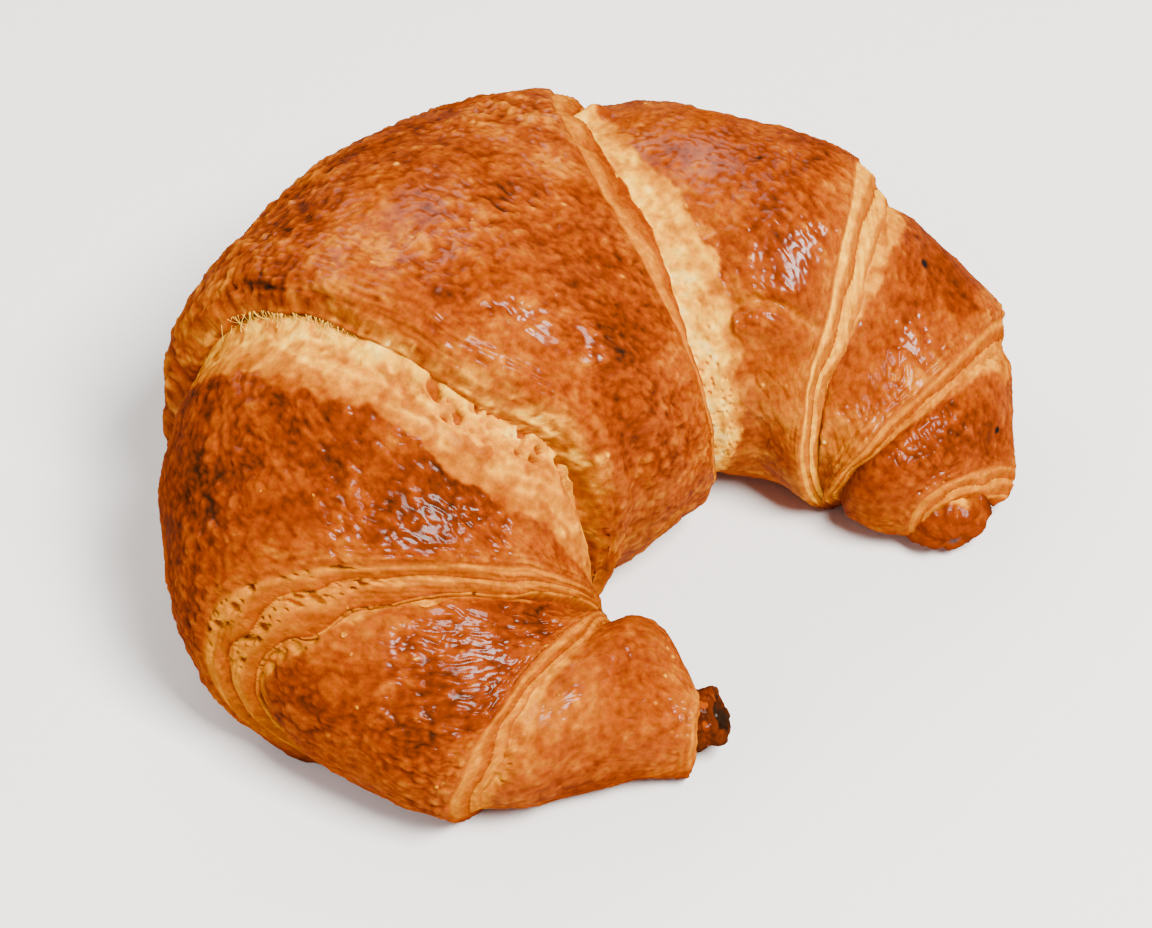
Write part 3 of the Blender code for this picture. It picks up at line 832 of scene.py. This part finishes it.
def crumb_shapes(wraps, around=14, rings=9):
    """Small ragged loose crumbs, each a bumpy ball that is partly sunk in the nearest skin."""
    shapes = []
    skin = np.concatenate([wrap["final"].reshape(-1, 3) for wrap in wraps.values()])
    turn = np.linspace(0.0, 2 * np.pi, around, endpoint=False)
    tilt = np.linspace(0.15, np.pi - 0.15, rings)[:, None]
    wide = np.sin(tilt)
    ball = np.stack([wide * np.cos(turn), wide * np.sin(turn), np.cos(tilt) + 0 * turn], axis=-1)
    for *centre, size in CRUMBS:
        x, y, z = skin[((skin - np.array(centre)) ** 2).sum(-1).argmin()]
        swell = 1 + 0.55 * noise(ball * 1.7 + x, 80)
        flatten = 0.65 + 0.5 * SPOTS[int(abs(x * y)) % TABLE]
        shapes.append(np.array([x, y, z]) + 0.5 * size * ball * swell[..., None] * flatten)
    return shapes


# Pieces
def closed_grid(points):
    """Vertices and faces of a grid that closes round the roll, with a fan of triangles over each end."""
    rings, around = points.shape[:2]
    vertices = np.concatenate([points.reshape(-1, 3), points[0].mean(0)[None], points[-1].mean(0)[None]])
    row, column = np.meshgrid(np.arange(rings - 1), np.arange(around), indexing="ij")
    after = (column + 1) % around
    quads = np.stack([row * around + column, row * around + after, (row + 1) * around + after,
                      (row + 1) * around + column], axis=-1).reshape(-1, 4)
    column, after = column[0], after[0]
    last_ring = (rings - 1) * around
    start_fan = np.stack([after, column, np.full(around, rings * around)], axis=-1)
    end_fan = np.stack([last_ring + column, last_ring + after, np.full(around, rings * around + 1)], axis=-1)
    return vertices, quads.tolist() + start_fan.tolist() + end_fan.tolist()


def fill_mesh(name, vertices, faces, paint, surface, material):
    """A piece in place of the croissant's solid, with its colour and its surface at each point."""
    mesh = bpy.data.meshes.new(name)
    mesh.from_pydata(((vertices - CENTRE) * MILLIMETRE).tolist(), [], faces)
    ones = np.ones((len(vertices), 1))
    for attribute, values in (("paint", paint), ("surface", surface)):
        colours = np.concatenate([values, ones], axis=1).astype(np.float32)
        mesh.attributes.new(attribute, "FLOAT_COLOR", "POINT").data.foreach_set("color", colours.ravel())
    mesh.materials.append(material)
    mesh.update()
    mesh.shade_smooth()
    piece = bpy.data.objects.new(name, mesh)
    bpy.context.scene.collection.objects.link(piece)
    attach(piece, "root")
    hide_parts("croissant")
    return piece


def joined_object(name, shapes, tone, gloss, material):
    """One piece from several small closed grids, all with one bake and one gloss."""
    vertices, faces = np.zeros((0, 3)), []
    for points in shapes:
        more, grid = closed_grid(points)
        faces += [[len(vertices) + corner for corner in face] for face in grid]
        vertices = np.concatenate([vertices, more])
    paint = np.broadcast_to(bake_colour(np.array(tone)), vertices.shape)
    surface = np.broadcast_to(np.array([gloss, 0.6, 0.0]), vertices.shape)
    return fill_mesh(name, vertices, faces, paint, surface, material)


def grid_object(name, points, tone, gloss, roughness, material):
    """A piece from one closed grid of points, with its bake, gloss and roughness at each point."""
    vertices, faces = closed_grid(points)
    end_paint, end_surface = np.full((2, 3), 0.05), np.full((2, 3), 0.55)
    paint = np.concatenate([bake_colour(tone).reshape(-1, 3), end_paint])
    grain = np.clip(0.1 + 0.8 * gloss, 0.1, 0.5)
    surface = np.stack([np.clip(gloss, 0.02, 1.0), roughness, grain], axis=-1)
    surface = np.concatenate([surface.reshape(-1, 3), end_surface])
    return fill_mesh(name, vertices, faces, paint, surface, material)


# The bake from white crumb to the darkest crust, as linear colours
BAKING = (
    (0.00, 0.930, 0.620, 0.140), (0.10, 0.830, 0.385, 0.0130), (0.18, 0.620, 0.225, 0.0014),
    (0.28, 0.420, 0.118, 0.0004), (0.40, 0.320, 0.074, 0.0002), (0.52, 0.265, 0.046, 0.0002),
    (0.62, 0.225, 0.0355, 0.0003), (0.72, 0.175, 0.0230, 0.0005), (0.82, 0.128, 0.0170, 0.0009),
    (0.92, 0.085, 0.0135, 0.0018), (1.00, 0.045, 0.0090, 0.0020), (1.20, 0.010, 0.0060, 0.0040))


def bake_colour(tone):
    """The linear colour of a bake."""
    table = np.array(BAKING)
    return np.stack([np.exp(np.interp(tone, table[:, 0], np.log(table[:, i]))) for i in (1, 2, 3)], axis=-1)


def crust_material():
    """Crust and crumb in one: "paint" is the colour, and "surface" holds the glaze, roughness and grain."""
    material = bpy.data.materials.new("pretzel_crust")
    material.use_nodes = True
    nodes, links = material.node_tree.nodes, material.node_tree.links
    shader = nodes["Principled BSDF"]
    shader.inputs["Coat Roughness"].default_value = 0.17
    shader.inputs["Coat IOR"].default_value = 1.42
    shader.inputs["Specular IOR Level"].default_value = 0.0
    paint = nodes.new("ShaderNodeAttribute")
    paint.attribute_name = "paint"
    surface = nodes.new("ShaderNodeAttribute")
    surface.attribute_name = "surface"
    parts = nodes.new("ShaderNodeSeparateColor")
    links.new(surface.outputs["Color"], parts.inputs["Color"])
    links.new(parts.outputs["Red"], shader.inputs["Coat Weight"])
    links.new(parts.outputs["Green"], shader.inputs["Roughness"])

    # Grain of about a millimetre, as relief under the smooth glaze and as speckle in the colour
    place = nodes.new("ShaderNodeTexCoord")
    grain = nodes.new("ShaderNodeTexNoise")
    grain.inputs["Scale"].default_value = 850.0
    grain.inputs["Detail"].default_value = 5.0
    grain.inputs["Roughness"].default_value = 0.7
    links.new(place.outputs["Object"], grain.inputs["Vector"])
    bump = nodes.new("ShaderNodeBump")
    bump.inputs["Distance"].default_value = 0.00022
    links.new(parts.outputs["Blue"], bump.inputs["Strength"])
    links.new(grain.outputs["Fac"], bump.inputs["Height"])
    links.new(bump.outputs["Normal"], shader.inputs["Normal"])
    shade = nodes.new("ShaderNodeMapRange")
    for end, value in (("From Min", 0.3), ("From Max", 0.7), ("To Min", 0.66), ("To Max", 1.3)):
        shade.inputs[end].default_value = value
    links.new(grain.outputs["Fac"], shade.inputs["Value"])
    speckled = nodes.new("ShaderNodeVectorMath")
    speckled.operation = "SCALE"
    links.new(paint.outputs["Color"], speckled.inputs["Vector"])
    links.new(shade.outputs["Result"], speckled.inputs["Scale"])
    links.new(speckled.outputs["Vector"], shader.inputs["Base Color"])
    return material


# Camera: where it stands from the croissant, in degrees and metres, and its lens and sensor in millimetres
AZIMUTH, ELEVATION, DISTANCE = math.radians(-45), math.radians(52), 0.5333
LENS, SENSOR = 100, 36

# Lights: the way to each as shares to the camera's right, up and back, then its distance and size in metres,
# its power in watts and its tint
LIGHTS = {
    "key": ((0.38, 0.29, 0.87), 0.9, (0.34, 0.34), 26.0, (1.0, 0.96, 0.90)),
    "fill_left": ((-0.85, 0.15, 0.5), 1.1, (0.8, 0.8), 7.0, (1.0, 1.0, 1.0)),
    "fill_far": ((-0.35, 0.9, 0.12), 1.1, (1.2, 0.5), 10.0, (1.0, 0.95, 0.88)),
}
FLOOR_REACH, FLOOR_WHITE, WORLD_STRENGTH = 3, 0.92, 0.2


def set_stage():
    """A pale floor, which the glaze doesn't mirror, and a dim white room."""
    r = FLOOR_REACH
    floor_mesh = bpy.data.meshes.new("floor")
    floor_mesh.from_pydata([(-r, -r, 0), (r, -r, 0), (r, r, 0), (-r, r, 0)], [], [(0, 1, 2, 3)])
    floor = bpy.data.objects.new("floor", floor_mesh)
    bpy.context.scene.collection.objects.link(floor)
    floor.visible_glossy = False
    white = bpy.data.materials.new("white_sweep")
    white.use_nodes = True
    shader = white.node_tree.nodes["Principled BSDF"]
    shader.inputs["Base Color"].default_value = (FLOOR_WHITE, FLOOR_WHITE, FLOOR_WHITE, 1)
    shader.inputs["Roughness"].default_value = 0.8
    floor_mesh.materials.append(white)
    world = bpy.data.worlds.new("white_room")
    bpy.context.scene.world = world
    world.use_nodes = True
    background = world.node_tree.nodes["Background"]
    background.inputs["Color"].default_value = (1.0, 1.0, 1.0, 1)
    background.inputs["Strength"].default_value = WORLD_STRENGTH


def set_camera():
    """The photo's camera. Its target and its right, up and back are given back for the lights."""
    target = Vector((-CENTRE[0], -CENTRE[1], 0.0)) * MILLIMETRE
    back = Vector((math.sin(AZIMUTH) * math.cos(ELEVATION), -math.cos(AZIMUTH) * math.cos(ELEVATION),
                   math.sin(ELEVATION)))
    data = bpy.data.cameras.new("camera")
    data.lens, data.sensor_width = LENS, SENSOR
    camera = bpy.data.objects.new("camera", data)
    camera.location = target + back * DISTANCE
    camera.rotation_euler = (-back).to_track_quat("-Z", "Y").to_euler()
    bpy.context.scene.collection.objects.link(camera)
    bpy.context.scene.camera = camera
    right = Vector((math.cos(AZIMUTH), math.sin(AZIMUTH), 0.0))
    return target, right, back.cross(right), back


def set_lights(target, right, up, back):
    """The lights, each turned towards the croissant. The left fill isn't mirrored in the glaze."""
    for name, (way, distance, size, power, tint) in LIGHTS.items():
        data = bpy.data.lights.new(name, "AREA")
        data.shape = "RECTANGLE"
        data.size, data.size_y = size
        data.energy = power
        data.color = tint
        lamp = bpy.data.objects.new(name, data)
        offset = (right * way[0] + up * way[1] + back * way[2]) * distance
        lamp.location = target + offset
        lamp.rotation_euler = (-offset).to_track_quat("-Z", "Y").to_euler()
        bpy.context.scene.collection.objects.link(lamp)
        lamp.visible_glossy = name != "fill_left"


def main():
    """Every piece of the croissant, then the floor, the camera and the lights."""
    crust = crust_material()
    thread_tone, thread_gloss = 0.04, 0.05
    crumb_tone, crumb_gloss = 0.24, 0.1
    wraps = {}
    for index, (name, spec) in enumerate(WRAPS.items()):
        wrap = build_crown(name, spec) if name == "crown" else build_arm(name, spec)
        finish_points(wrap, index)
        roughness = 0.42 + 0.2 * wrap["dough"]
        grid_object(name, wrap["final"], bake_tone(wrap), glaze(wrap), roughness, crust)
        wraps[name] = wrap
    for name, spec in CORES.items():
        points, tone, gloss = build_core(name, spec)
        grid_object(name, points, tone, gloss, TIP_ROUGHNESS + 0 * tone, crust)
    threads = web_strands(wraps["crown"], wraps["roll_left_1"])
    joined_object("webs", threads, thread_tone, thread_gloss, crust)
    joined_object("crumbs", crumb_shapes(wraps), crumb_tone, crumb_gloss, crust)
    set_stage()
    set_lights(*set_camera())


main()
